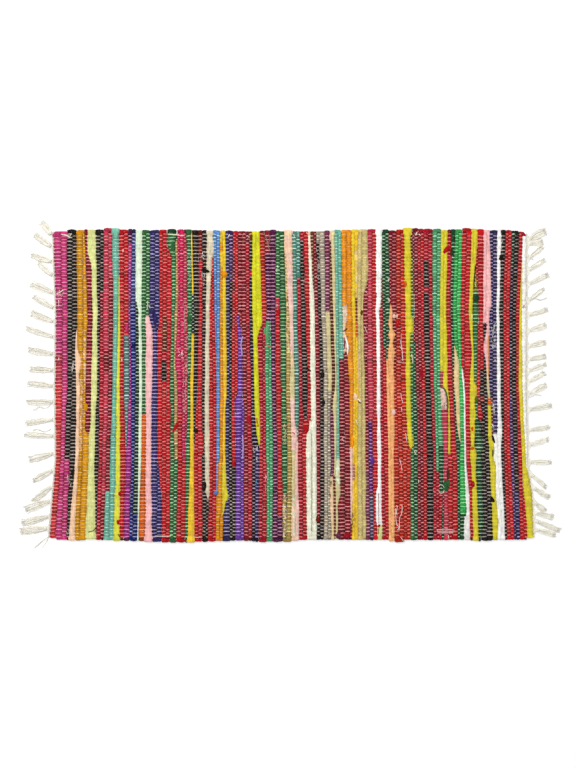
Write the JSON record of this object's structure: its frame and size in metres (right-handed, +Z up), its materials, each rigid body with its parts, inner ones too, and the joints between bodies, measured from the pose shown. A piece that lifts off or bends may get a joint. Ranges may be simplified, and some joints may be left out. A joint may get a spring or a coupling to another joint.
{
  "type": "rag rug",
  "caption": "Flat-woven rag rug with multicoloured crosswise rag stripes and short knotted cream tassels along both ends.",
  "frame": {"origin": "under the middle of the whole rug, tassels included, on the floor it lies on", "axes": "+X along the rug's length from one tasselled end to the other, +Y along the rags towards the far selvedge, +Z up out of the floor"},
  "size_m": [1.0158, 0.6192, 0.0066],
  "materials": {
    "rag_cloth": "matte woven cotton rags in many colours",
    "warp_yarn": "matte twisted cream cotton yarn"
  },
  "bodies": {
    "root": {"rug_body": "rag_cloth", "fringe_left": "warp_yarn", "fringe_right": "warp_yarn"}
  },
  "joints": []
}
